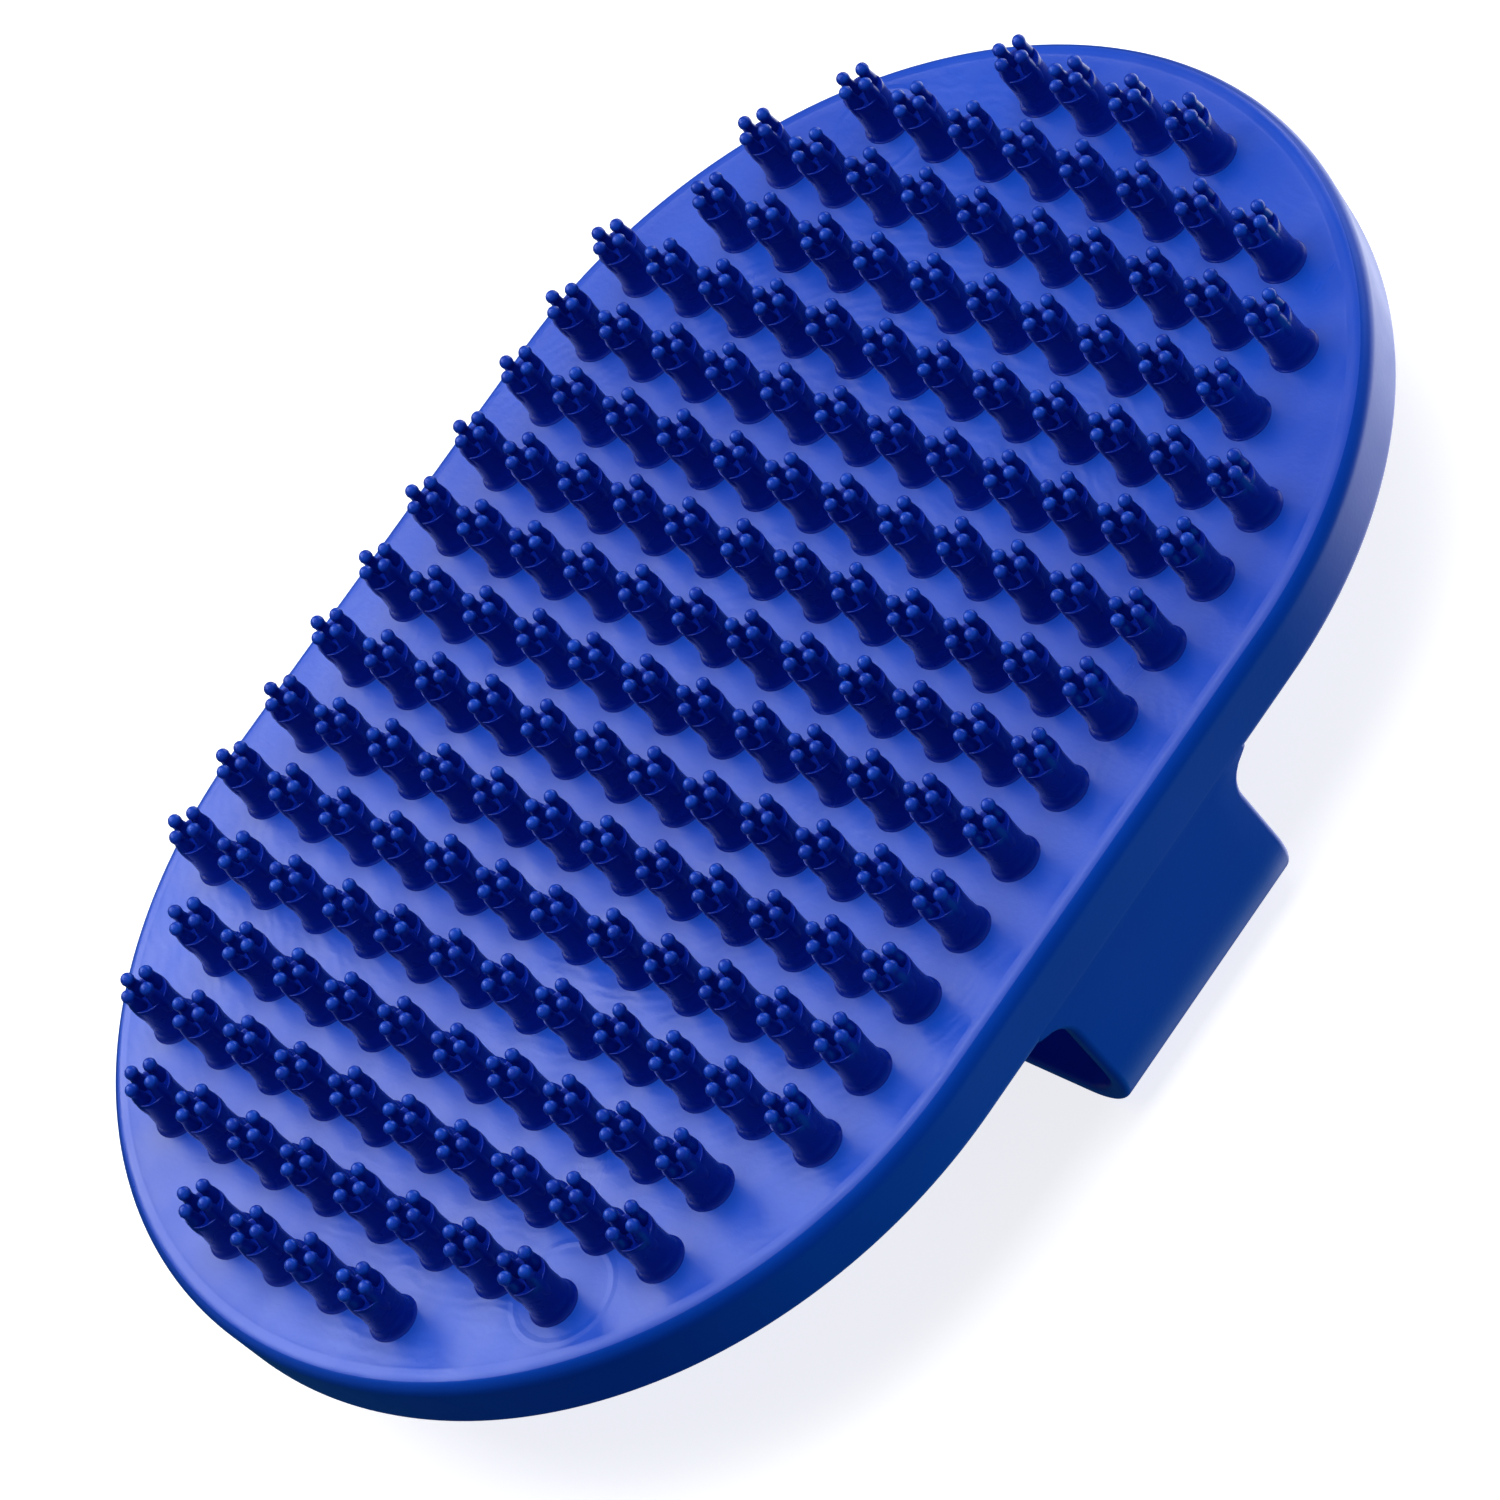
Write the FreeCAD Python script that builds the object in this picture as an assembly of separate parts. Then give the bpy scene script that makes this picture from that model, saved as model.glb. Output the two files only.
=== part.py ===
import FreeCAD, Part
import math
import os

# Rubber curry brush: an oval pad with a field of four-pronged teeth on one face
# and a palm strap that arches across the other face.
#
# Frame (millimetres): the brush lies on the flat crown of its strap, teeth up.
#   X  across the pad, the way the strap runs
#   Y  along the pad
#   Z  up, from the strap towards the tooth tips
# The origin is the middle of the strap's crown, on the surface it rests on.

V = FreeCAD.Vector
UP = V(0, 0, 1)

# Pad: two straight sides joined by half-round ends.
PAD_LENGTH = 128.3
PAD_WIDTH = 86.7
PAD_THICKNESS = 6.3
FACE_EDGE_RADIUS = 1.4        # soft round-over between the face and the side wall
SIDE_DRAFT = 0.3              # how much narrower each side is at the back than at the face
FACE_PLATE_THICKNESS = 3.0    # web that carries the teeth
RIM_WIDTH = 3.0               # skirt round the back, measured at the back edge

# Palm strap: two legs and a flat crown, one band of constant thickness.
STRAP_WIDTH = 23.0
STRAP_THICKNESS = 1.7
STRAP_DROP = 16.0             # from the back of the pad to the outside of the crown
STRAP_CORNER_RADIUS = 7.0     # outside radius between leg and crown
STRAP_INSET = 0.1             # leg's outer face, inwards from the pad's back edge
STRAP_ROOT_RADIUS = 3.0       # concave flare where a leg's edges meet the pad

# Tooth field: a rectangular grid, centred on the pad.
TOOTH_PITCH = 6.49            # along a row, in X
ROW_PITCH = 6.7               # from row to row, in Y
TEETH_IN_END_ROWS = [4, 8, 10, 10]    # first four rows, mirrored at the far end
TEETH_IN_FULL_ROW = 12
FULL_ROWS = 10

# One tooth: a flared foot, a waisted stem and four ball-tipped prongs.
FOOT_RADIUS = 2.12
FLARE_RADIUS = 1.93           # tooth's radius half way up the flare
FLARE_MIDDLE_HEIGHT = 0.3
STEM_ROOT_RADIUS = 1.86
FLARE_HEIGHT = 0.85
STEM_WAIST_RADIUS = 1.76
STEM_WAIST_HEIGHT = 2.4
STEM_TOP_RADIUS = 1.83
STEM_HEIGHT = 4.4             # floor of the cross-shaped gap between the prongs
SHANK_RADIUS = 0.53
TIP_RADIUS = 0.59
PRONG_OFFSET = 1.2            # prong axis from the tooth's axis
PRONG_COUNT = 4
TOOTH_HEIGHT = 6.4

# Levels, from the resting surface up.
BACK_Z = STRAP_DROP
PLATE_BACK_Z = BACK_Z + PAD_THICKNESS - FACE_PLATE_THICKNESS
FACE_Z = BACK_Z + PAD_THICKNESS


def pad_outline(inset, z):
    """Closed wire round the pad at height z, moved inwards by inset."""
    radius = PAD_WIDTH / 2 - inset
    straight = PAD_LENGTH / 2 - PAD_WIDTH / 2
    right_low = V(radius, -straight, z)
    right_high = V(radius, straight, z)
    left_low = V(-radius, -straight, z)
    left_high = V(-radius, straight, z)
    far_end = V(0, straight + radius, z)
    near_end = V(0, -straight - radius, z)
    edges = [
        Part.LineSegment(right_low, right_high).toShape(),
        Part.Arc(right_high, far_end, left_high).toShape(),
        Part.LineSegment(left_high, left_low).toShape(),
        Part.Arc(left_low, near_end, right_low).toShape(),
    ]
    return Part.Wire(edges)


def inset_at(z):
    """How far the drafted side wall stands in from the face outline at height z."""
    return SIDE_DRAFT * (FACE_Z - z) / PAD_THICKNESS


def pad_slab(low_z, high_z):
    """Solid slice of the drafted pad between two heights."""
    low = pad_outline(inset_at(low_z), low_z)
    high = pad_outline(inset_at(high_z), high_z)
    return Part.makeLoft([low, high], True, True)


def face_plate():
    """The web under the teeth, with the soft edge round its face."""
    slab = pad_slab(PLATE_BACK_Z, FACE_Z)
    face_edges = [
        edge for edge in slab.Edges
        if all(abs(vertex.Z - FACE_Z) < 1e-6 for vertex in edge.Vertexes)
    ]
    return slab.makeFillet(FACE_EDGE_RADIUS, face_edges)


def rim_wall():
    """The skirt that stiffens the edge and leaves a shallow recess for the palm."""
    slab = pad_slab(BACK_Z, PLATE_BACK_Z)
    recess_inset = SIDE_DRAFT + RIM_WIDTH
    recess_outline = Part.Face(pad_outline(recess_inset, BACK_Z))
    recess = recess_outline.extrude(UP * (PLATE_BACK_Z - BACK_Z))
    return slab.cut(recess)


def arch_section():
    """The strap seen from the end: an open arch of constant thickness, standing in XZ."""
    outer_x = PAD_WIDTH / 2 - SIDE_DRAFT - STRAP_INSET
    inner_x = outer_x - STRAP_THICKNESS
    corner_x = outer_x - STRAP_CORNER_RADIUS
    corner_z = STRAP_CORNER_RADIUS
    inner_radius = STRAP_CORNER_RADIUS - STRAP_THICKNESS
    diagonal = math.sqrt(0.5)

    def corner(side, radius):
        start = V(side * (corner_x + radius), 0, corner_z)
        middle = V(side * (corner_x + radius * diagonal), 0, corner_z - radius * diagonal)
        end = V(side * corner_x, 0, corner_z - radius)
        return start, middle, end

    right_out = corner(1, STRAP_CORNER_RADIUS)
    left_out = corner(-1, STRAP_CORNER_RADIUS)
    right_in = corner(1, inner_radius)
    left_in = corner(-1, inner_radius)
    edges = [
        Part.LineSegment(V(outer_x, 0, BACK_Z), right_out[0]).toShape(),
        Part.Arc(*right_out).toShape(),
        Part.LineSegment(right_out[2], left_out[2]).toShape(),
        Part.Arc(*left_out[::-1]).toShape(),
        Part.LineSegment(left_out[0], V(-outer_x, 0, BACK_Z)).toShape(),
        Part.LineSegment(V(-outer_x, 0, BACK_Z), V(-inner_x, 0, BACK_Z)).toShape(),
        Part.LineSegment(V(-inner_x, 0, BACK_Z), left_in[0]).toShape(),
        Part.Arc(*left_in).toShape(),
        Part.LineSegment(left_in[2], right_in[2]).toShape(),
        Part.Arc(*right_in[::-1]).toShape(),
        Part.LineSegment(right_in[0], V(inner_x, 0, BACK_Z)).toShape(),
        Part.LineSegment(V(inner_x, 0, BACK_Z), V(outer_x, 0, BACK_Z)).toShape(),
    ]
    return Part.Face(Part.Wire(edges))


def strap_side_shape():
    """The strap seen from the side, in YZ: straight edges that flare out at the pad."""
    half = STRAP_WIDTH / 2
    root = STRAP_ROOT_RADIUS
    diagonal = root * (1 - math.sqrt(0.5))
    flare_z = BACK_Z - root

    def flare(side):
        low = V(0, side * half, flare_z)
        middle = V(0, side * (half + diagonal), BACK_Z - diagonal)
        high = V(0, side * (half + root), BACK_Z)
        return low, middle, high

    right = flare(1)
    left = flare(-1)
    edges = [
        Part.LineSegment(V(0, -half, 0), V(0, half, 0)).toShape(),
        Part.LineSegment(V(0, half, 0), right[0]).toShape(),
        Part.Arc(*right).toShape(),
        Part.LineSegment(right[2], left[2]).toShape(),
        Part.Arc(*left[::-1]).toShape(),
        Part.LineSegment(left[0], V(0, -half, 0)).toShape(),
    ]
    return Part.Face(Part.Wire(edges))


def hand_strap():
    """The palm strap: the arch section drawn along Y, trimmed to the side shape."""
    full_width = STRAP_WIDTH + 4 * STRAP_ROOT_RADIUS
    arch = arch_section()
    arch.translate(V(0, -full_width / 2, 0))
    band = arch.extrude(V(0, full_width, 0))
    side = strap_side_shape()
    side.translate(V(-PAD_WIDTH / 2, 0, 0))
    envelope = side.extrude(V(PAD_WIDTH, 0, 0))
    return band.common(envelope)


def tooth_stem():
    """Flared foot and waisted stem, turned about the tooth's axis, foot at z = 0."""
    foot = V(FOOT_RADIUS, 0, 0)
    flare_middle = V(FLARE_RADIUS, 0, FLARE_MIDDLE_HEIGHT)
    stem_root = V(STEM_ROOT_RADIUS, 0, FLARE_HEIGHT)
    waist = V(STEM_WAIST_RADIUS, 0, STEM_WAIST_HEIGHT)
    stem_top = V(STEM_TOP_RADIUS, 0, STEM_HEIGHT)
    axis_top = V(0, 0, STEM_HEIGHT)
    edges = [
        Part.LineSegment(V(0, 0, 0), foot).toShape(),
        Part.Arc(foot, flare_middle, stem_root).toShape(),
        Part.Arc(stem_root, waist, stem_top).toShape(),
        Part.LineSegment(stem_top, axis_top).toShape(),
        Part.LineSegment(axis_top, V(0, 0, 0)).toShape(),
    ]
    half_section = Part.Face(Part.Wire(edges))
    return half_section.revolve(V(0, 0, 0), UP, 360)


def prong(angle):
    """One ball-tipped prong, rooted inside the stem."""
    tip_centre_z = TOOTH_HEIGHT - TIP_RADIUS
    x = PRONG_OFFSET * math.cos(angle)
    y = PRONG_OFFSET * math.sin(angle)
    root = V(x, y, STEM_WAIST_HEIGHT)
    shank = Part.makeCylinder(SHANK_RADIUS, tip_centre_z - STEM_WAIST_HEIGHT, root)
    tip = Part.makeSphere(TIP_RADIUS, V(x, y, tip_centre_z))
    return shank.fuse(tip)


def tooth():
    """One whole tooth, standing on z = 0."""
    prongs = [prong(2 * math.pi * k / PRONG_COUNT) for k in range(PRONG_COUNT)]
    return tooth_stem().fuse(prongs).removeSplitter()


def tooth_counts():
    """Teeth in each row, from the near end to the far end."""
    return TEETH_IN_END_ROWS + [TEETH_IN_FULL_ROW] * FULL_ROWS + TEETH_IN_END_ROWS[::-1]


def tooth_row(master, count, y):
    """A row of separate teeth standing on the face, centred on the pad."""
    first_x = -(count - 1) * TOOTH_PITCH / 2
    teeth = []
    for k in range(count):
        one = master.copy()
        one.translate(V(first_x + k * TOOTH_PITCH, y, FACE_Z))
        teeth.append(one)
    return Part.makeCompound(teeth)


def build():
    """Every node of the brush, by name."""
    nodes = {
        "face_plate": face_plate(),
        "rim_wall": rim_wall(),
        "hand_strap": hand_strap(),
    }
    master = tooth()
    counts = tooth_counts()
    first_y = -(len(counts) - 1) * ROW_PITCH / 2
    for index, count in enumerate(counts):
        name = f"tooth_row_{index + 1:02d}"
        nodes[name] = tooth_row(master, count, first_y + index * ROW_PITCH)
    return nodes


os.makedirs("parts", exist_ok=True)
for name, shape in build().items():
    print(name, "solids", len(shape.Solids), "volume", round(shape.Volume, 1), "valid", shape.isValid())
    shape.exportStep(f"parts/{name}.step")
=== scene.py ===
import math
import random

import bmesh
import bpy
from mathutils import Matrix, Vector


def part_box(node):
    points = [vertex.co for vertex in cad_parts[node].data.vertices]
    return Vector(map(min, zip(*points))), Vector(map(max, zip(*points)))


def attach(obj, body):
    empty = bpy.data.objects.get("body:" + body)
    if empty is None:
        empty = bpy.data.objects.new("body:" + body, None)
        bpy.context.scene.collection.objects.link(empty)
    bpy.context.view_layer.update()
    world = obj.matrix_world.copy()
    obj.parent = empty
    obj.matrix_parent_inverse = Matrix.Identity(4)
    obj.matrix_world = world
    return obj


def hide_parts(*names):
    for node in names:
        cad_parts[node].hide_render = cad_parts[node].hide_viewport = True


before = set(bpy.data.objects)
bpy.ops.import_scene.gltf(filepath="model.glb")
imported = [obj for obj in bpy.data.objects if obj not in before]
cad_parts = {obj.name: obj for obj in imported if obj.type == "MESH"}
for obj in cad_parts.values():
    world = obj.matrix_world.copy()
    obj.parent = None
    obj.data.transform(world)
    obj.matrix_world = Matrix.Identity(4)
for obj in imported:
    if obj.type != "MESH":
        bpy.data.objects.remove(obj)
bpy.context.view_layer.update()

MM = 0.001

# ---------------------------------------------------------------------------
# Levels and outline, from the frame.
# ---------------------------------------------------------------------------
PLATE_LOW, PLATE_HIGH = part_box("face_plate")
RIM_LOW, RIM_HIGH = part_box("rim_wall")
STRAP_LOW, STRAP_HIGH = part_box("hand_strap")

FACE_Z = PLATE_HIGH.z
PLATE_BACK_Z = PLATE_LOW.z
BACK_Z = RIM_LOW.z
CROWN_Z = STRAP_LOW.z
ROWS = sorted(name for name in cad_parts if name.startswith("tooth_row_"))

# The pad at its widest, just below the round-over, and at the back edge.
WIDE_HALF_WIDTH = PLATE_HIGH.x
WIDE_HALF_LENGTH = PLATE_HIGH.y
STRAIGHT_HALF = WIDE_HALF_LENGTH - WIDE_HALF_WIDTH
BACK_INSET = 0.3 * MM

FACE_EDGE_RADIUS = 1.4 * MM
BACK_EDGE_RADIUS = 0.7 * MM
RIM_WIDTH = 3.0 * MM
RIM_LIP_RADIUS = 0.4 * MM
RIM_LIP_START = 0.5 * MM      # where the rim's flat ends, outwards from its inner edge
RECESS_FILLET = 1.0 * MM
RING_CLEARANCE = 0.3 * MM     # spacing of the support rings beside a round-over
FACE_RINGS = (9.0 * MM, 5.0 * MM, 1.2 * MM)   # support rings on the flat face, in from the round-over
PAD_SEGMENTS = 360
SHOULDER_RINGS_LIT = 5        # rings of the round-over that still carry the face's material; past them it takes the wall's darker material, painted shade
BEAD_WIDTH = 0.25 * MM        # fine raised line where the face starts to turn down
BEAD_HEIGHT = 0.025 * MM

# Palm strap.
STRAP_WIDTH = 23.0 * MM
STRAP_THICKNESS = 1.7 * MM
STRAP_CORNER_RADIUS = 7.0 * MM
STRAP_EDGE_RADIUS = 0.55 * MM
STRAP_ROOT_RADIUS = 3.0 * MM
STRAP_OVERLAP = 1.6 * MM      # how far each leg runs up inside the pad's skirt
STRAP_BLEND = 6.0 * MM        # length over which a leg eases into the skirt's surface
STRAP_SINK = 0.012 * MM       # depth of the leg's outer face under the skirt's
LEG_STEPS = 22
CORNER_STEPS = 18
CROWN_STEPS = 12
SECTION_STEPS = 8

# One tooth, and the pitch of the teeth along a row.
TOOTH_PITCH = 6.49 * MM
FOOT_RADIUS = 2.12 * MM
STEM_ROOT_RADIUS = 1.84 * MM
FLARE_HEIGHT = 0.85 * MM
FOOT_FILLET = 0.05 * MM
STEM_WAIST_RADIUS = 1.74 * MM
STEM_TOP_RADIUS = 1.83 * MM
STEM_HEIGHT = 4.4 * MM
COLLAR_DEPTH = 0.03 * MM
DISH_DEPTH = 0.50 * MM        # hollow between the prongs, below the stem's rim
PRONG_COUNT = 4
PRONG_OFFSET = 1.2 * MM
SHANK_RADIUS = 0.52 * MM
TIP_RADIUS = 0.59 * MM
PRONG_ROOT_RADIUS = 0.69 * MM
PRONG_RIDGE_DEPTH = 1.9 * MM  # how far a prong's ridge runs down the side of the stem
PRONG_ROOT_RISE = 0.8 * MM    # how far its thickened root stands above the stem's rim
TOOTH_HEIGHT = 6.4 * MM
FOOT_LIFT = 0.06 * MM         # level of the foot's own edge above the face
FLARE_STEPS = 6
COLLAR_HEIGHT = 0.12 * MM     # step from the flare to the plain stem
WAIST_STEPS = 6
RIM_HEIGHT = 0.05 * MM        # rounding of the stem's top edge
PRONG_STEPS = 8
TOOTH_SEGMENTS = 32
PRONG_SEGMENTS = 16

# How much the teeth differ from one another: slopes, angle and length.
TOOTH_LEAN = 0.010
TOOTH_TWIST = 0.03
PRONG_SPREAD = 0.025
PRONG_SPREAD_NOISE = 0.018
PRONG_SIDE_NOISE = 0.014
PRONG_SHORTEST = -0.06 * MM
PRONG_LONGEST = 0.04 * MM


# ---------------------------------------------------------------------------
# Camera
# ---------------------------------------------------------------------------
def camera():
    """A long lens from above the +X side, rolled so that the pad stands up to the right."""
    right = Vector((0.6687, 0.5630, -0.4857))
    up = Vector((-0.2867, 0.7979, 0.5303))
    forward = Vector((-0.6860, 0.2155, -0.6950))
    data = bpy.data.cameras.new("camera")
    data.sensor_width = 36
    data.lens = 216
    data.clip_start = 0.01
    data.clip_end = 20
    cam = bpy.data.objects.new("camera", data)
    rotation = Matrix((right, up, -forward)).transposed().to_4x4()
    place = Vector((0.4891, -0.1555, 0.4895 + FACE_Z))
    cam.matrix_world = Matrix.Translation(place) @ rotation
    bpy.context.scene.collection.objects.link(cam)
    bpy.context.scene.camera = cam


# ---------------------------------------------------------------------------
# Mesh helpers
# ---------------------------------------------------------------------------
def new_piece(name, bm, materials, slot_name, *nodes):
    """Turns a bmesh into a smooth-shaded piece that stands for the given CAD nodes."""
    mesh = bpy.data.meshes.new(name)
    bmesh.ops.recalc_face_normals(bm, faces=bm.faces)
    bm.to_mesh(mesh)
    bm.free()
    for polygon in mesh.polygons:
        polygon.use_smooth = True
    for material in materials:
        mesh.materials.append(material)
    piece = bpy.data.objects.new(name, mesh)
    bpy.context.scene.collection.objects.link(piece)
    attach(piece, "root")
    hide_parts(*nodes)
    return piece


def arc(centre_a, centre_b, radius, start, end, steps):
    """Points (a, b) on a circular arc, angles in degrees, both ends included."""
    points = []
    for k in range(steps + 1):
        angle = math.radians(start + (end - start) * k / steps)
        points.append((centre_a + radius * math.cos(angle), centre_b + radius * math.sin(angle)))
    return points


def outline_point(t, inset):
    """Point at share t of the way round the pad's widest outline, moved inwards by inset."""
    radius = WIDE_HALF_WIDTH - inset
    bend = math.pi * WIDE_HALF_WIDTH
    run = 2 * STRAIGHT_HALF
    s = t * 2 * (bend + run)
    if s < run:
        return radius, -STRAIGHT_HALF + s
    s -= run
    if s < bend:
        angle = s / WIDE_HALF_WIDTH
        return radius * math.cos(angle), STRAIGHT_HALF + radius * math.sin(angle)
    s -= bend
    if s < run:
        return -radius, STRAIGHT_HALF - s
    angle = math.pi + (s - run) / WIDE_HALF_WIDTH
    return radius * math.cos(angle), -STRAIGHT_HALF + radius * math.sin(angle)


def bridge(bm, low, high, material=0):
    """Quads between two closed rings of the same length."""
    for k in range(len(low)):
        n = (k + 1) % len(low)
        face = bm.faces.new((low[k], low[n], high[n], high[k]))
        face.material_index = material


# ---------------------------------------------------------------------------
# Pad
# ---------------------------------------------------------------------------
def wall_inset(z):
    """How far the drafted wall stands in from the widest outline at height z."""
    top = FACE_Z - FACE_EDGE_RADIUS
    low = BACK_Z + BACK_EDGE_RADIUS
    return BACK_INSET * min(1.0, max(0.0, (top - z) / (top - low)))


def pad_profile():
    """The pad's edge in section, as (inset, z), from the face over the wall to the recess floor."""
    r = FACE_EDGE_RADIUS
    face = [(r + ring, FACE_Z) for ring in FACE_RINGS] + [
        (r + 2 * BEAD_WIDTH, FACE_Z),
        (r + 1.5 * BEAD_WIDTH, FACE_Z + 0.5 * BEAD_HEIGHT),
        (r + BEAD_WIDTH, FACE_Z + BEAD_HEIGHT),
        (r + 0.5 * BEAD_WIDTH, FACE_Z + 0.5 * BEAD_HEIGHT),
    ]
    shoulder = [(r - a, b) for a, b in arc(0, FACE_Z - r, r, 90, 0, 14)]
    b = BACK_EDGE_RADIUS
    inset = BACK_INSET
    levels = [FACE_Z - r - RING_CLEARANCE, (FACE_Z + BACK_Z) / 2, BACK_Z + b + RING_CLEARANCE]
    wall = [(wall_inset(z), z) for z in levels]
    back_edge = [(inset + b - a, z) for a, z in arc(0, BACK_Z + b, b, 0, -90, 6)]
    inner = inset + RIM_WIDTH
    rim = [
        (inset + b + RING_CLEARANCE, BACK_Z),
        (inner - RIM_LIP_START, BACK_Z),
    ]
    lip = arc(inner - RIM_LIP_RADIUS, BACK_Z + RIM_LIP_RADIUS, RIM_LIP_RADIUS, -90, 0, 5)
    recess = arc(inner + RECESS_FILLET, PLATE_BACK_Z - RECESS_FILLET, RECESS_FILLET, 180, 90, 6)
    recess.append((inner + RECESS_FILLET + RING_CLEARANCE, PLATE_BACK_Z))
    return face, shoulder + wall + back_edge + rim + lip + recess


def pad_shell(face_material, wall_material):
    """The whole pad as one skin: face, bead, round-over, wall, skirt and recess."""
    face, rest = pad_profile()
    bm = bmesh.new()
    rings = []
    for inset, z in face + rest:
        ring = []
        for k in range(PAD_SEGMENTS):
            x, y = outline_point(k / PAD_SEGMENTS, inset)
            ring.append(bm.verts.new((x, y, z)))
        rings.append(ring)
    # Past the lit rings the round-over takes the wall's material, coloured darker as painted shade.
    wall_start = len(face) + SHOULDER_RINGS_LIT
    for index in range(len(rings) - 1):
        bridge(bm, rings[index], rings[index + 1], 0 if index < wall_start else 1)
    top = bm.faces.new(rings[0])
    top.material_index = 0
    bottom = bm.faces.new(rings[-1][::-1])
    bottom.material_index = 1
    materials = [face_material, wall_material]
    return new_piece("pad_shell", bm, materials, "pad_rubber", "face_plate", "rim_wall")


# ---------------------------------------------------------------------------
# Palm strap
# ---------------------------------------------------------------------------
def arch_path():
    """Outer line of the strap in XZ, as (x, z, normal x, normal z), from one leg to the other."""
    leg_x = STRAP_HIGH.x
    top_z = BACK_Z + STRAP_OVERLAP
    blend_z = BACK_Z + BACK_EDGE_RADIUS
    free_z = BACK_Z - STRAP_BLEND
    corner_x = leg_x - STRAP_CORNER_RADIUS
    corner_z = CROWN_Z + STRAP_CORNER_RADIUS
    half = []
    for k in range(LEG_STEPS + 1):
        share = k / LEG_STEPS
        z = top_z + (corner_z - top_z) * share
        blend = min(1.0, max(0.0, (z - free_z) / (blend_z - free_z)))
        blend = blend * blend * (3 - 2 * blend)
        skirt_x = WIDE_HALF_WIDTH - wall_inset(z) - STRAP_SINK
        half.append((leg_x + (skirt_x - leg_x) * blend, z, 1.0, 0.0))
    for k in range(1, CORNER_STEPS + 1):
        angle = math.radians(90 * k / CORNER_STEPS)
        half.append((
            corner_x + STRAP_CORNER_RADIUS * math.cos(angle),
            corner_z - STRAP_CORNER_RADIUS * math.sin(angle),
            math.cos(angle), -math.sin(angle),
        ))
    for k in range(1, CROWN_STEPS + 1):
        half.append((corner_x * (1 - k / CROWN_STEPS), CROWN_Z, 0.0, -1.0))
    other = [(-x, z, -nx, nz) for x, z, nx, nz in half[:-1]]
    return half + other[::-1]


def strap_half_width(z):
    """Half the strap's width at height z: straight, then flared into the pad."""
    start = BACK_Z - STRAP_ROOT_RADIUS
    if z <= start:
        return STRAP_WIDTH / 2
    rise = min(z - start, STRAP_ROOT_RADIUS * 0.998)
    return STRAP_WIDTH / 2 + STRAP_ROOT_RADIUS - math.sqrt(STRAP_ROOT_RADIUS ** 2 - rise ** 2)


def strap_section(half, thickness):
    """Closed section of the band as (y, depth), rounded at its four corners."""
    r = STRAP_EDGE_RADIUS
    points = []
    for k in range(SECTION_STEPS):
        points.append((-half + r + (2 * half - 2 * r) * k / SECTION_STEPS, 0.0))
    points += [(half - r + a, r - b) for a, b in arc(0, 0, r, 90, 0, 5)]
    points += [(half - r + a, thickness - r - b) for a, b in arc(0, 0, r, 0, -90, 5)]
    for k in range(1, SECTION_STEPS):
        points.append((half - r - (2 * half - 2 * r) * k / SECTION_STEPS, thickness))
    points += [(-half + r + a, thickness - r - b) for a, b in arc(0, 0, r, 270, 180, 5)]
    points += [(-half + r + a, r - b) for a, b in arc(0, 0, r, 180, 95, 5)]
    return points


def palm_strap(material):
    """The strap: a rounded band swept along the arch, flared where it meets the pad."""
    bm = bmesh.new()
    rings = []
    for x, z, nx, nz in arch_path():
        half = strap_half_width(z)
        ring = []
        for y, depth in strap_section(half, STRAP_THICKNESS):
            ring.append(bm.verts.new((x - nx * depth, y, z - nz * depth)))
        rings.append(ring)
    for index in range(len(rings) - 1):
        bridge(bm, rings[index], rings[index + 1])
    bm.faces.new(rings[0])
    bm.faces.new(rings[-1][::-1])
    return new_piece("palm_strap", bm, [material], "strap_rubber", "hand_strap")


# ---------------------------------------------------------------------------
# Teeth
# ---------------------------------------------------------------------------
def stem_profile():
    """Radius and height up a tooth: bell flare, faint collar, waist, and a dished top."""
    profile = []
    flare = FOOT_RADIUS - STEM_ROOT_RADIUS
    profile.append((FOOT_RADIUS + FOOT_FILLET, -0.02 * MM))
    profile.append((FOOT_RADIUS + 0.4 * FOOT_FILLET, 0.02 * MM))
    for k in range(FLARE_STEPS + 1):
        angle = k / FLARE_STEPS * math.pi / 2
        rise = FLARE_HEIGHT * (1 - math.cos(angle))
        profile.append((FOOT_RADIUS - flare * math.sin(angle), FOOT_LIFT + rise))
    start_radius = STEM_ROOT_RADIUS - COLLAR_DEPTH
    start_z = FLARE_HEIGHT + COLLAR_HEIGHT
    profile.append((start_radius, start_z))
    for k in range(1, WAIST_STEPS + 1):
        share = k / WAIST_STEPS
        straight = start_radius + (STEM_TOP_RADIUS - start_radius) * share
        dip = (straight - STEM_WAIST_RADIUS) * math.sin(math.pi * share)
        z = start_z + (STEM_HEIGHT - RIM_HEIGHT - start_z) * share
        profile.append((straight - dip, z))
    profile.append((STEM_TOP_RADIUS - 0.02 * MM, STEM_HEIGHT - 0.01 * MM))
    profile.append((STEM_TOP_RADIUS - 0.07 * MM, STEM_HEIGHT))
    profile.append((STEM_TOP_RADIUS - 0.20 * MM, STEM_HEIGHT - 0.05 * MM))
    profile.append((STEM_TOP_RADIUS - 0.45 * MM, STEM_HEIGHT - 0.5 * DISH_DEPTH))
    profile.append((0.8 * MM, STEM_HEIGHT - 0.9 * DISH_DEPTH))
    profile.append((0.3 * MM, STEM_HEIGHT - DISH_DEPTH))
    return profile


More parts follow.
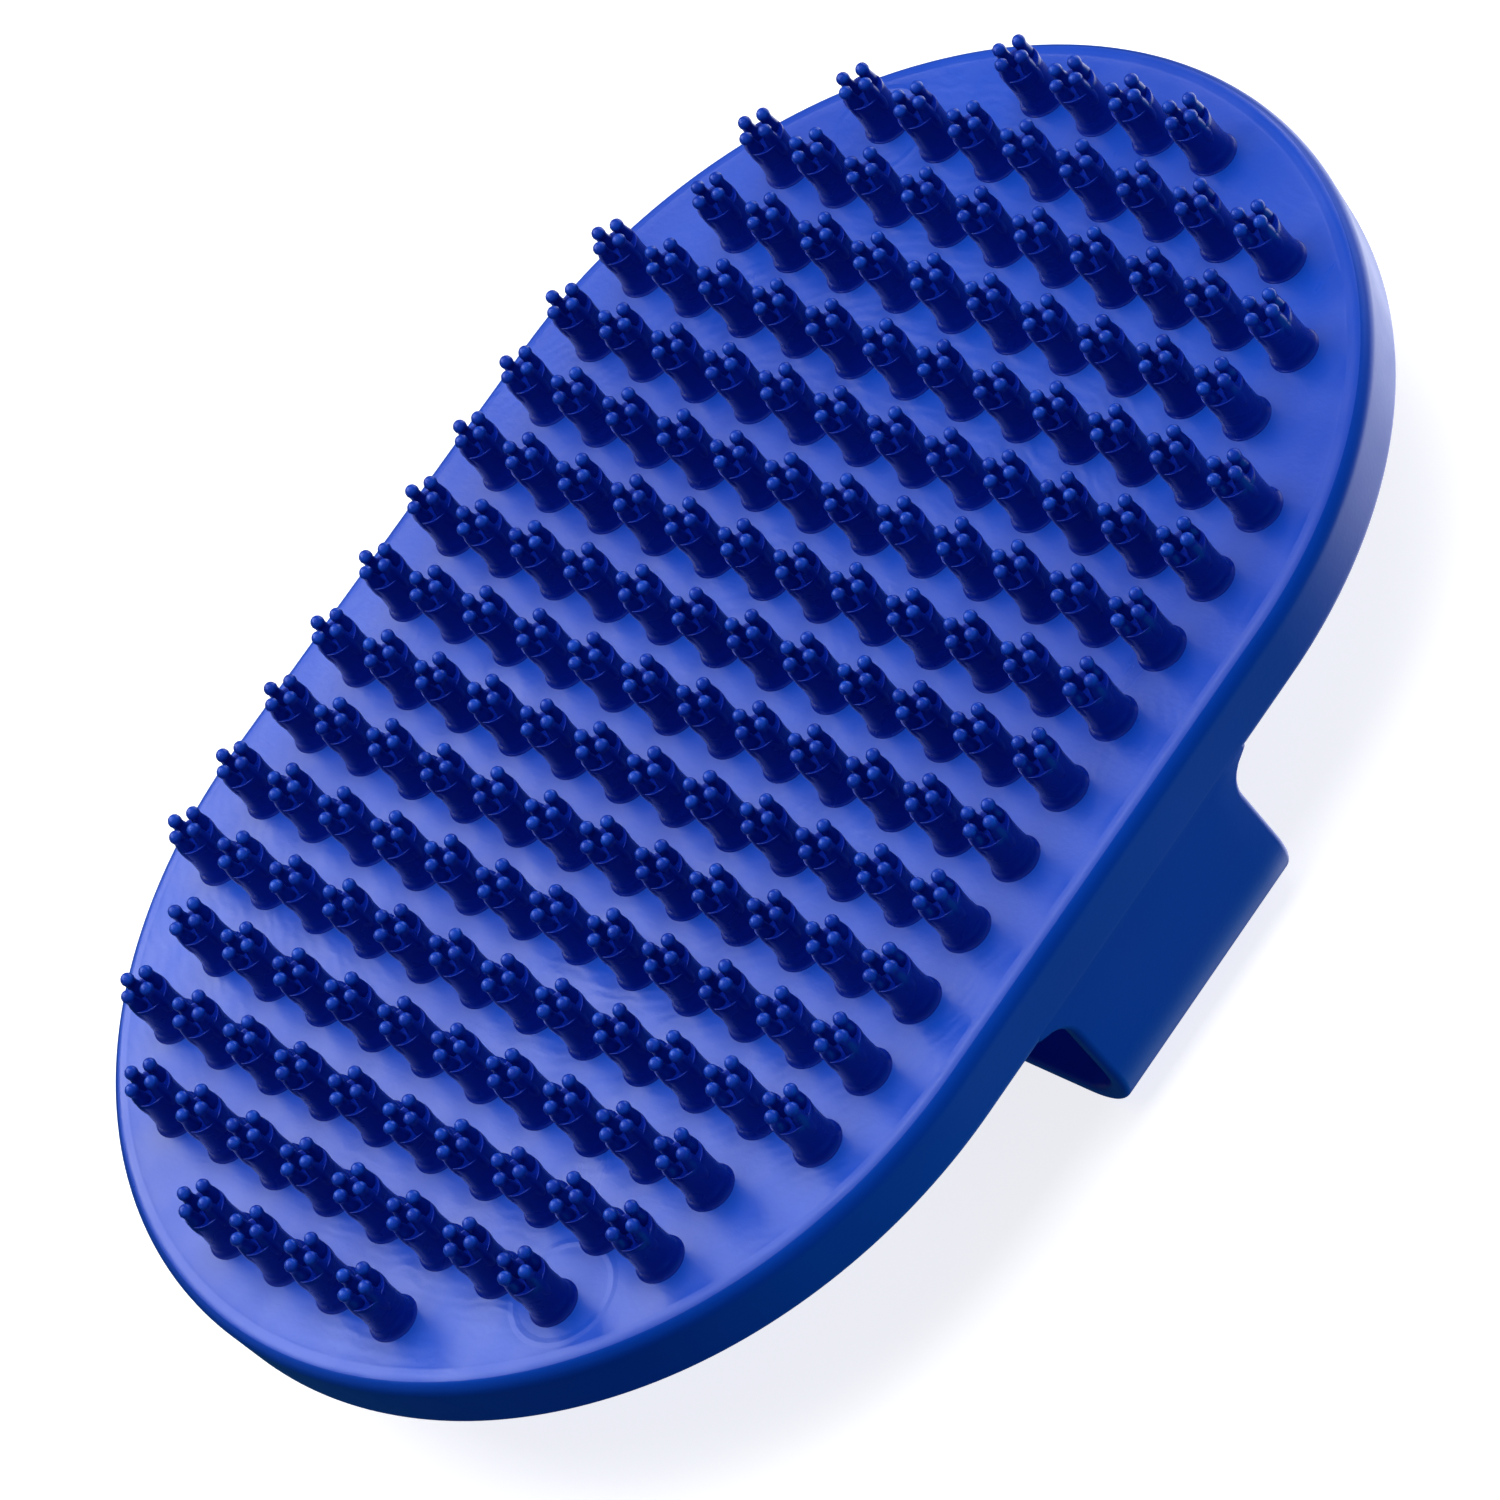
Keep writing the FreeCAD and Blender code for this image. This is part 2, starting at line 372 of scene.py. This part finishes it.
def prong_profile(height):
    """Radius and height up a prong, from inside the stem to the ball tip."""
    ball_z = height - TIP_RADIUS
    neck = math.degrees(math.acos(SHANK_RADIUS / TIP_RADIUS))
    profile = []
    base = STEM_HEIGHT - PRONG_RIDGE_DEPTH
    swell = PRONG_ROOT_RADIUS - SHANK_RADIUS
    for k in range(PRONG_STEPS + 1):
        share = k / PRONG_STEPS
        radius = SHANK_RADIUS + swell * math.sin(math.pi * share)
        profile.append((radius, base + (PRONG_RIDGE_DEPTH + PRONG_ROOT_RISE) * share))
    for r, z in arc(0, ball_z, TIP_RADIUS, -neck, 82, 9):
        profile.append((r, z))
    return profile


def revolve(bm, profile, segments, place):
    """Turns a profile about Z and puts every point through place(); closed at both ends."""
    rings = []
    for radius, z in profile:
        ring = []
        for k in range(segments):
            angle = 2 * math.pi * (k + 0.5) / segments
            ring.append(bm.verts.new(place(radius * math.cos(angle), radius * math.sin(angle), z)))
        rings.append(ring)
    for index in range(len(rings) - 1):
        bridge(bm, rings[index], rings[index + 1])
    bm.faces.new(rings[0][::-1])
    bm.faces.new(rings[-1])


def add_tooth(bm, x, y, rng):
    """One tooth on the face at (x, y), with the small lean and spread of a rubber casting."""
    lean_x = rng.gauss(0, TOOTH_LEAN)
    lean_y = rng.gauss(0, TOOTH_LEAN)
    twist = rng.gauss(0, TOOTH_TWIST)

    def place(px, py, pz):
        bend = pz * pz / TOOTH_HEIGHT
        return (x + px + lean_x * bend, y + py + lean_y * bend, FACE_Z + pz)

    revolve(bm, stem_profile(), TOOTH_SEGMENTS, place)
    for k in range(PRONG_COUNT):
        angle = 2 * math.pi * k / PRONG_COUNT + twist
        cx = PRONG_OFFSET * math.cos(angle)
        cy = PRONG_OFFSET * math.sin(angle)
        height = TOOTH_HEIGHT + rng.uniform(PRONG_SHORTEST, PRONG_LONGEST)
        spread = PRONG_SPREAD + rng.gauss(0, PRONG_SPREAD_NOISE)
        side = rng.gauss(0, PRONG_SIDE_NOISE)

        def prong_place(px, py, pz):
            rise = max(0.0, pz - STEM_HEIGHT)
            qx = cx + px
            qy = cy + py
            qx += rise * (spread * math.cos(angle) - side * math.sin(angle))
            qy += rise * (spread * math.sin(angle) + side * math.cos(angle))
            return place(qx, qy, pz)

        revolve(bm, prong_profile(height), PRONG_SEGMENTS, prong_place)


def tooth_positions(node):
    """Centres of the teeth of one CAD row, spread across its box at about the tooth pitch."""
    low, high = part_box(node)
    span = (high.x - low.x) - 2 * FOOT_RADIUS
    count = int(round(span / TOOTH_PITCH)) + 1
    y = (low.y + high.y) / 2
    first = (low.x + high.x) / 2 - span / 2
    pitch = span / (count - 1)
    return [(first + k * pitch, y) for k in range(count)]


def tooth_row(node, material, rng):
    """One row of teeth as one piece, standing for the CAD row of that name."""
    bm = bmesh.new()
    for x, y in tooth_positions(node):
        add_tooth(bm, x, y, rng)
    new_piece(node.replace("tooth_row", "teeth"), bm, [material], "tooth_rubber", node)


# ---------------------------------------------------------------------------
# Materials
# ---------------------------------------------------------------------------
class Nodes:
    """Short calls for building a node tree."""

    def __init__(self, name):
        self.material = bpy.data.materials.new(name)
        self.material.use_nodes = True
        self.tree = self.material.node_tree
        self.shader = self.tree.nodes["Principled BSDF"]
        self.coords = self.tree.nodes.new("ShaderNodeTexCoord").outputs["Object"]

    def link(self, source, target):
        self.tree.links.new(source, target)

    def noise(self, scale, detail=3.0, roughness=0.5, stretch=(1, 1, 1), distortion=0.0):
        """Noise over object space; scale is in features per metre."""
        mapping = self.tree.nodes.new("ShaderNodeMapping")
        mapping.inputs["Scale"].default_value = stretch
        self.link(self.coords, mapping.inputs["Vector"])
        node = self.tree.nodes.new("ShaderNodeTexNoise")
        node.inputs["Scale"].default_value = scale
        node.inputs["Detail"].default_value = detail
        node.inputs["Roughness"].default_value = roughness
        node.inputs["Distortion"].default_value = distortion
        self.link(mapping.outputs["Vector"], node.inputs["Vector"])
        return node.outputs["Fac"]

    def span(self, source, low, high, out_low, out_high):
        """Remaps a value, clamped."""
        node = self.tree.nodes.new("ShaderNodeMapRange")
        node.inputs["From Min"].default_value = low
        node.inputs["From Max"].default_value = high
        node.inputs["To Min"].default_value = out_low
        node.inputs["To Max"].default_value = out_high
        self.link(source, node.inputs["Value"])
        return node.outputs["Result"]

    def math(self, operation, a, b=None):
        node = self.tree.nodes.new("ShaderNodeMath")
        node.operation = operation
        for socket, value in zip(node.inputs, (a, b)):
            if value is None:
                continue
            if isinstance(value, (int, float)):
                socket.default_value = value
            else:
                self.link(value, socket)
        return node.outputs[0]

    def ramp(self, source, colour_a, colour_b):
        """Mixes two colours by a value from 0 to 1."""
        node = self.tree.nodes.new("ShaderNodeMix")
        node.data_type = "RGBA"
        node.inputs["A"].default_value = colour_a
        node.inputs["B"].default_value = colour_b
        self.link(source, node.inputs["Factor"])
        return node.outputs["Result"]

    def mix(self, factor, a, b):
        node = self.tree.nodes.new("ShaderNodeMix")
        node.data_type = "RGBA"
        self.link(factor, node.inputs["Factor"])
        self.link(a, node.inputs["A"])
        self.link(b, node.inputs["B"])
        return node.outputs["Result"]

    def bump(self, height, strength, distance, after=None):
        node = self.tree.nodes.new("ShaderNodeBump")
        node.inputs["Strength"].default_value = strength
        node.inputs["Distance"].default_value = distance
        self.link(height, node.inputs["Height"])
        if after is not None:
            self.link(after, node.inputs["Normal"])
        return node.outputs["Normal"]

    def ring_mark(self, x, y):
        """A faint circle on the face round (x, y), such as an ejector pin leaves: 1 on the line."""
        node = self.tree.nodes.new("ShaderNodeVectorMath")
        node.operation = "DISTANCE"
        self.link(self.coords, node.inputs[0])
        node.inputs[1].default_value = (x, y, FACE_Z)
        off = self.math("ABSOLUTE", self.math("SUBTRACT", node.outputs["Value"], PIN_RADIUS))
        return self.span(off, 0.0, PIN_LINE, 1.0, 0.0)


FACE_BLUES = ((0.0015, 0.0440, 0.400, 1), (0.0030, 0.0570, 0.460, 1))
# Darker than the face's blues: painted shade on the sides, back and strap, which are the same rubber as
# the face.
WALL_BLUES_PAINTED_SHADE = ((0.0008, 0.0340, 0.300, 1), (0.0017, 0.0430, 0.350, 1))
# Darker still: painted shade on the teeth's stems.
STEM_BLUES_PAINTED_SHADE = ((0.0006, 0.0100, 0.220, 1), (0.0012, 0.0150, 0.270, 1))
# Lighter: painted light on the teeth's tips.
TIP_BLUE_PAINTED_LIGHT = (0.0045, 0.0520, 0.430, 1)
TIP_PAINTED_LIGHT_START = 1.4 * MM     # painted light: the tips' lighter colour begins this far below their tops
TIP_PAINTED_LIGHT_FULL = 0.3 * MM

# Ejector pin marks on the face, one near each end.
PIN_X = 22.9 * MM
PIN_Y = 49.2 * MM
PIN_RADIUS = 4.4 * MM
PIN_LINE = 0.45 * MM


def rubber_base(name, blues, roughness_low, roughness_high, grain):
    """Blue moulded rubber: slow colour drift, fine grain and a soft, uneven gloss."""
    m = Nodes(name)
    drift = m.noise(38, 3)
    m.link(m.ramp(m.span(drift, 0.35, 0.65, 0, 1), *blues), m.shader.inputs["Base Color"])
    smear = m.noise(160, 4, 0.6, (1.0, 0.45, 1.0), 0.4)
    m.link(m.span(smear, 0.3, 0.7, roughness_low, roughness_high), m.shader.inputs["Roughness"])
    fine = m.noise(2600, 2)
    normal = m.bump(fine, grain, 0.03 * MM)
    m.shader.inputs["IOR"].default_value = 1.5
    return m, normal


def face_rubber():
    """The lit face: satin, with tool swirls and pin marks left by the mould."""
    m, normal = rubber_base("pad_face_rubber", FACE_BLUES, 0.27, 0.43, 0.35)
    swirl = m.tree.nodes.new("ShaderNodeTexWave")
    swirl.wave_type = "RINGS"
    swirl.rings_direction = "Z"
    swirl.inputs["Scale"].default_value = 260
    swirl.inputs["Distortion"].default_value = 9
    swirl.inputs["Detail"].default_value = 3
    swirl.inputs["Detail Scale"].default_value = 0.9
    m.link(m.coords, swirl.inputs["Vector"])
    patch = m.span(m.noise(45, 2), 0.45, 0.62, 0, 1)
    swirls = m.math("MULTIPLY", swirl.outputs["Fac"], patch)
    normal = m.bump(swirls, 0.45, 0.02 * MM, normal)
    marks = m.math("MAXIMUM", m.ring_mark(PIN_X, -PIN_Y), m.ring_mark(-PIN_X, PIN_Y))
    normal = m.bump(marks, 0.70, 0.05 * MM, normal)
    waves = m.noise(95, 3)
    normal = m.bump(waves, 0.50, 0.14 * MM, normal)
    streaks = m.noise(420, 3, 0.6, (0.25, 1.0, 1.0), 0.6)
    normal = m.bump(streaks, 0.45, 0.04 * MM, normal)
    m.link(normal, m.shader.inputs["Normal"])
    m.shader.inputs["Specular IOR Level"].default_value = 0.55
    return m.material


def wall_rubber():
    """The sides and back: the face's rubber coloured darker as painted shade, handled smooth."""
    m, normal = rubber_base("pad_wall_rubber_painted_shade", WALL_BLUES_PAINTED_SHADE, 0.30, 0.40, 0.25)
    waves = m.noise(70, 2)
    normal = m.bump(waves, 0.15, 0.10 * MM, normal)
    m.link(normal, m.shader.inputs["Normal"])
    m.shader.inputs["Specular IOR Level"].default_value = 0.5
    m.shader.inputs["Specular Tint"].default_value = (0.05, 0.22, 1.0, 1)
    return m.material


def tooth_rubber():
    """The teeth: a little glossier; stems coloured darker than the face as painted shade, tips coloured
    lighter towards their tops as painted light.
    """
    m, normal = rubber_base("tooth_rubber", STEM_BLUES_PAINTED_SHADE, 0.22, 0.32, 0.25)
    m.link(normal, m.shader.inputs["Normal"])
    m.shader.inputs["Specular IOR Level"].default_value = 0.5
    m.shader.inputs["Specular Tint"].default_value = (0.40, 0.55, 1.0, 1)
    separate = m.tree.nodes.new("ShaderNodeSeparateXYZ")
    m.link(m.coords, separate.inputs["Vector"])
    top = FACE_Z + TOOTH_HEIGHT
    tip = m.span(separate.outputs["Z"], top - TIP_PAINTED_LIGHT_START, top - TIP_PAINTED_LIGHT_FULL, 0.0, 1.0)
    # Painted light on the tips: lighter towards their tops, broken up by noise.
    tip_painted_light = m.math("MULTIPLY", tip, m.span(m.noise(900, 2), 0.35, 0.7, 0.55, 1.0))
    drift = m.ramp(m.span(m.noise(60, 2), 0.35, 0.65, 0, 1), *STEM_BLUES_PAINTED_SHADE)
    light = m.ramp(tip_painted_light, STEM_BLUES_PAINTED_SHADE[1], TIP_BLUE_PAINTED_LIGHT)
    m.link(m.mix(tip_painted_light, drift, light), m.shader.inputs["Base Color"])
    return m.material


# ---------------------------------------------------------------------------
# Studio
# ---------------------------------------------------------------------------
FLOOR_COLOUR = (0.50, 0.50, 0.50, 1)
FLOOR_COLOUR_LIGHT = (0.515, 0.515, 0.515, 1)
FLOOR_GLOW = 0.80
FLOOR_GAP = 0.02 * MM         # keeps the floor's plane off the strap's crown
STAGE_RADIUS = 4.0
STAGE_SEGMENTS = 96
COVE_RADIUS = 1.0
WALL_HEIGHT = 4.0


def floor():
    """A pale floor that curves up into a wall all round, well away from the object."""
    low = CROWN_Z - FLOOR_GAP
    cove = [(x, z) for x, z in arc(STAGE_RADIUS - COVE_RADIUS, low + COVE_RADIUS, COVE_RADIUS, -90, 0, 12)]
    bm = bmesh.new()
    rings = []
    for radius, z in cove + [(STAGE_RADIUS, low + WALL_HEIGHT)]:
        ring = []
        for k in range(STAGE_SEGMENTS):
            angle = 2 * math.pi * k / STAGE_SEGMENTS
            ring.append(bm.verts.new((radius * math.cos(angle), radius * math.sin(angle), z)))
        rings.append(ring)
    bm.faces.new(rings[0])
    for index in range(len(rings) - 1):
        bridge(bm, rings[index], rings[index + 1])
    mesh = bpy.data.meshes.new("floor")
    bm.to_mesh(mesh)
    bm.free()
    for polygon in mesh.polygons:
        polygon.use_smooth = len(polygon.vertices) == 4
    stage = bpy.data.objects.new("floor", mesh)
    bpy.context.scene.collection.objects.link(stage)
    m = Nodes("floor")
    tone = m.ramp(m.span(m.noise(3, 2), 0.3, 0.7, 0, 1), FLOOR_COLOUR, FLOOR_COLOUR_LIGHT)
    m.link(tone, m.shader.inputs["Base Color"])
    m.shader.inputs["Roughness"].default_value = 0.9
    m.shader.inputs["Specular IOR Level"].default_value = 0.1
    m.shader.inputs["Emission Color"].default_value = (1, 1, 1, 1)
    m.shader.inputs["Emission Strength"].default_value = FLOOR_GLOW
    mesh.materials.append(m.material)
    stage.visible_glossy = False
    stage.visible_diffuse = False
    stage.visible_shadow = False


def softbox(name, place, target, width, height, radiance, up=Vector((0, 0, 1))):
    """A rectangular area light of the given radiance, facing target, its height along up."""
    light = bpy.data.lights.new(name, "AREA")
    light.shape = "RECTANGLE"
    light.size = width
    light.size_y = height
    light.energy = radiance * math.pi * width * height
    lamp = bpy.data.objects.new(name, light)
    back = (place - target).normalized()
    side = up.cross(back).normalized()
    rotation = Matrix((side, back.cross(side), back)).transposed().to_4x4()
    lamp.matrix_world = Matrix.Translation(place) @ rotation
    bpy.context.scene.collection.objects.link(lamp)
    return lamp


def lights():
    """A card behind the pad for the face's sheen, a softbox overhead, an end strip and a highlight."""
    centre = Vector((0, 0, FACE_Z))
    away = Vector((-0.686, 0.215, 0.695))
    across = Vector((0.669, 0.563, 0.486))
    along = away.cross(across)
    aim = centre - 0.14 * across - 0.36 * along
    sheen = softbox("sheen_card", aim + 0.45 * away, aim, 0.32, 0.80, 4.3, along)
    sheen.visible_diffuse = False
    overhead = softbox("overhead", Vector((-0.10, 0.05, 0.95)), centre, 1.0, 1.0, 4.3, Vector((0, 1, 0)))
    overhead.visible_glossy = False
    sparkle = softbox("sparkle", centre + 0.9 * Vector((-0.30, 0.16, 0.94)), centre, 0.16, 0.16, 9.0)
    sparkle.visible_diffuse = False
    softbox("end_strip", Vector((-0.15, 0.80, 0.20)), centre, 0.70, 0.34, 2.2)
    studio_world()


def studio_world():
    """Dim white room above, a blue fill from below, and a pale panel beyond the far end."""
    world = bpy.data.worlds.new("world")
    bpy.context.scene.world = world
    world.use_nodes = True
    tree = world.node_tree
    background = tree.nodes["Background"]
    coords = tree.nodes.new("ShaderNodeTexCoord").outputs["Generated"]

    def lobe(direction, edge, core):
        """0 away from a direction, 1 near it; edge and core are cosines."""
        dot = tree.nodes.new("ShaderNodeVectorMath")
        dot.operation = "DOT_PRODUCT"
        tree.links.new(coords, dot.inputs[0])
        dot.inputs[1].default_value = Vector(direction).normalized()
        span = tree.nodes.new("ShaderNodeMapRange")
        span.interpolation_type = "SMOOTHSTEP"
        span.inputs["From Min"].default_value = edge
        span.inputs["From Max"].default_value = core
        tree.links.new(dot.outputs["Value"], span.inputs["Value"])
        return span.outputs["Result"]

    def blend(factor, a, b):
        mix = tree.nodes.new("ShaderNodeMix")
        mix.data_type = "RGBA"
        tree.links.new(factor, mix.inputs["Factor"])
        if isinstance(a, tuple):
            mix.inputs["A"].default_value = a
        else:
            tree.links.new(a, mix.inputs["A"])
        mix.inputs["B"].default_value = b
        return mix.outputs["Result"]

    room = blend(lobe((0, 0, -1), -0.05, 0.30), ROOM_LIGHT, UNDER_LIGHT)
    room = blend(lobe((0.75, 0.35, -0.6), 0.30, 0.95), room, SIDE_FILL)
    room = blend(lobe((-0.12, 0.76, -0.64), 0.78, 0.92), room, END_PANEL)
    tree.links.new(room, background.inputs["Color"])


ROOM_LIGHT = (0.16, 0.16, 0.17, 1)
UNDER_LIGHT = (0.01, 0.06, 0.12, 1)
SIDE_FILL = (0.04, 0.50, 0.72, 1)
END_PANEL = (2.4, 2.5, 2.8, 1)


camera()
face_material = face_rubber()
wall_material = wall_rubber()
tooth_material = tooth_rubber()
pad_shell(face_material, wall_material)
# The strap takes the wall's material, coloured darker as painted shade.
palm_strap(wall_material)
dice = random.Random(41)
for row in ROWS:
    tooth_row(row, tooth_material, dice)
floor()
lights()
bpy.context.scene.view_settings.view_transform = "Standard"
